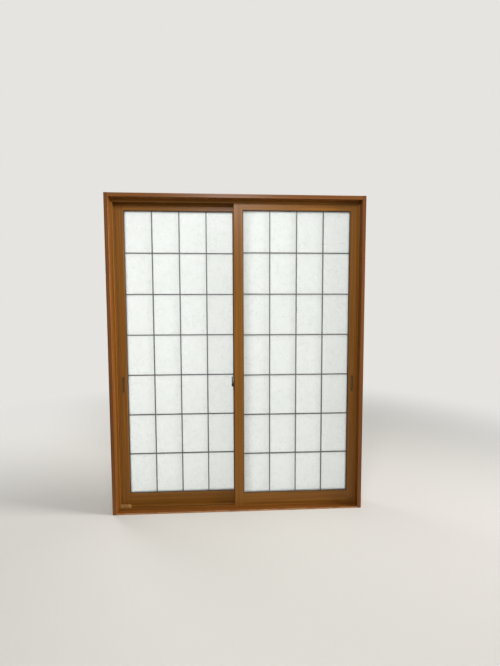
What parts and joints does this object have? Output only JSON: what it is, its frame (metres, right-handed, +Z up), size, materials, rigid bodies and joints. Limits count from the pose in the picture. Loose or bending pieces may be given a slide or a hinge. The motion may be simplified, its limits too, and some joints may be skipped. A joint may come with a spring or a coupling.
{
  "type": "pair of shoji sliding panels",
  "caption": "Pair of lattice-glazed shoji-style sliding sashes in a two-track frame with a wood casing, rollers and a crescent lock.",
  "frame": {"origin": "on the floor, at the middle of the casing's width and depth", "axes": "+X to the right seen from the room, +Y away from the room, +Z up"},
  "size_m": [1.6, 0.116, 2],
  "materials": {
    "casing_wood": "stained and varnished softwood boards",
    "track_resin": "extruded resin with a wood-look film",
    "sash_resin": "extruded resin with a wood-look film",
    "clear_glass": "clear float glass",
    "washi_glass": "translucent white glass with a paper-fibre pattern",
    "lattice_metal": "thin bars, dark grey satin paint",
    "spacer_metal": "mill aluminium",
    "gasket_rubber": "dark brown glazing gasket",
    "pile": "brown mohair pile on a strip",
    "runner_metal": "anodised aluminium",
    "nylon": "off-white nylon",
    "steel": "zinc-plated steel",
    "stop_resin": "tan moulded resin",
    "buffer_rubber": "soft brown rubber",
    "pull_resin": "dark brown moulded resin",
    "lock_metal": "cast zinc, dark bronze enamel"
  },
  "bodies": {
    "frame": {"casing_head": "casing_wood", "casing_sill": "casing_wood", "casing_jamb_left": "casing_wood", "casing_jamb_right": "casing_wood", "casing_screws": "steel", "track_head": "track_resin", "track_sill": "track_resin", "track_jamb_left": "track_resin", "track_jamb_right": "track_resin", "track_screws": "steel", "runner_front": "runner_metal", "runner_rear": "runner_metal", "stop_block_front": "stop_resin", "stop_block_rear": "stop_resin", "jamb_buffers": "buffer_rubber", "draught_blocks": "pile"},
    "left_sash": {"left_outer_stile": "sash_resin", "left_meeting_stile": "sash_resin", "left_top_rail": "sash_resin", "left_bottom_rail": "sash_resin", "left_room_pane": "clear_glass", "left_washi_pane": "washi_glass", "left_spacer": "spacer_metal", "left_lattice_uprights": "lattice_metal", "left_lattice_crossbars": "lattice_metal", "left_room_gasket": "gasket_rubber", "left_outer_gasket": "gasket_rubber", "left_finger_pull": "pull_resin", "left_roller_cases": "steel", "left_roller_pins": "steel", "left_top_guides": "nylon", "left_corner_screws": "steel", "left_pile_seals": "pile", "keeper": "steel", "keeper_screws": "steel"},
    "left_wheel_inner": {"left_wheel_inner": "nylon"},
    "left_wheel_outer": {"left_wheel_outer": "nylon"},
    "right_sash": {"right_outer_stile": "sash_resin", "right_meeting_stile": "sash_resin", "right_top_rail": "sash_resin", "right_bottom_rail": "sash_resin", "right_room_pane": "clear_glass", "right_washi_pane": "washi_glass", "right_spacer": "spacer_metal", "right_lattice_uprights": "lattice_metal", "right_lattice_crossbars": "lattice_metal", "right_room_gasket": "gasket_rubber", "right_outer_gasket": "gasket_rubber", "right_finger_pull": "pull_resin", "right_roller_cases": "steel", "right_roller_pins": "steel", "right_top_guides": "nylon", "right_corner_screws": "steel", "right_pile_seals": "pile", "lock_plate": "lock_metal", "lock_pin": "steel", "lock_screws": "steel"},
    "right_wheel_inner": {"right_wheel_inner": "nylon"},
    "right_wheel_outer": {"right_wheel_outer": "nylon"},
    "lock_lever": {"lock_lever": "lock_metal"}
  },
  "joints": [
    {"name": "left_sash_slide", "type": "slide", "parent": "frame", "child": "left_sash", "axis": [1, 0, 0], "range_m": [0, 0.6735]},
    {"name": "right_sash_slide", "type": "slide", "parent": "frame", "child": "right_sash", "axis": [1, 0, 0], "range_m": [-0.6785, 0]},
    {"name": "lock_turn", "type": "hinge", "parent": "right_sash", "child": "lock_lever", "pos_m": [-0.036, 0.002, 0.812], "axis": [1, 0, 0], "range_deg": [0, 180]},
    {"name": "left_wheel_inner_spin", "type": "hinge", "parent": "left_sash", "child": "left_wheel_inner", "pos_m": [-0.072, 0.035, 0.0278], "axis": [0, 1, 0], "range_deg": [0, 4062]},
    {"name": "left_wheel_outer_spin", "type": "hinge", "parent": "left_sash", "child": "left_wheel_outer", "pos_m": [-0.668, 0.035, 0.0278], "axis": [0, 1, 0], "range_deg": [0, 4062]},
    {"name": "right_wheel_inner_spin", "type": "hinge", "parent": "right_sash", "child": "right_wheel_inner", "pos_m": [0.077, 0.002, 0.0278], "axis": [0, 1, 0], "range_deg": [-4093, 0]},
    {"name": "right_wheel_outer_spin", "type": "hinge", "parent": "right_sash", "child": "right_wheel_outer", "pos_m": [0.673, 0.002, 0.0278], "axis": [0, 1, 0], "range_deg": [-4093, 0]}
  ],
  "couplings": [
    {"joint": "left_wheel_inner_spin", "follows": "left_sash_slide", "rad_per_m": 105.26},
    {"joint": "left_wheel_outer_spin", "follows": "left_sash_slide", "rad_per_m": 105.26},
    {"joint": "right_wheel_inner_spin", "follows": "right_sash_slide", "rad_per_m": 105.26},
    {"joint": "right_wheel_outer_spin", "follows": "right_sash_slide", "rad_per_m": 105.26}
  ]
}
